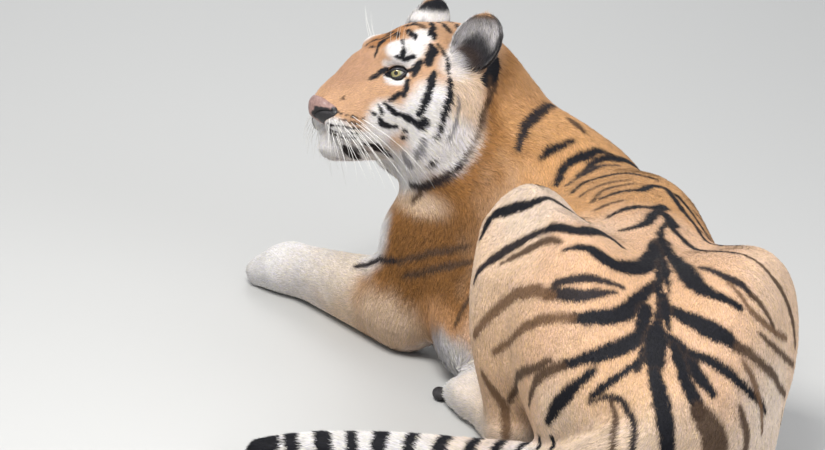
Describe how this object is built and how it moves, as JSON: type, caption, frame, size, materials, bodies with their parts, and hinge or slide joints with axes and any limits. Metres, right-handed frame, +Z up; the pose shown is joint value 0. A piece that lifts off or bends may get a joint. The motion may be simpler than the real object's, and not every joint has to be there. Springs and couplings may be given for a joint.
{
  "type": "lying tiger figure",
  "caption": "Life-size still figure of a striped big cat lying on its chest, forelegs ahead, head turned over its left shoulder, tail laid along the floor.",
  "frame": {"origin": "on the floor, on the flat of the belly where it rests, under the middle of the trunk", "axes": "+Z up from the floor; +Y the way the hips face, along the loins towards the shoulders; +X to the animal's right"},
  "size_m": [1, 1.4765, 0.6316],
  "materials": {
    "orange_coat": "short dense fur, orange with black stripes",
    "pale_coat": "short fur, pale tan to white",
    "ringed_coat": "fur ringed black on pale",
    "dark_ear": "thin velvety hide",
    "eye": "wet, glossy"
  },
  "bodies": {
    "root": {"head": "orange_coat", "ear_left": "dark_ear", "ear_right": "dark_ear", "eye_left": "eye", "eye_right": "eye", "neck": "orange_coat", "chest": "orange_coat", "belly": "orange_coat", "rump": "orange_coat", "upper_arm_left": "orange_coat", "upper_arm_right": "orange_coat", "forearm_left": "pale_coat", "forearm_right": "pale_coat", "forepaw_left": "pale_coat", "forepaw_right": "pale_coat", "thigh_left": "orange_coat", "thigh_right": "orange_coat", "hind_foot_left": "pale_coat", "hind_foot_right": "pale_coat", "tail_1": "ringed_coat", "tail_2": "ringed_coat", "tail_3": "ringed_coat", "tail_4": "ringed_coat"}
  },
  "joints": []
}
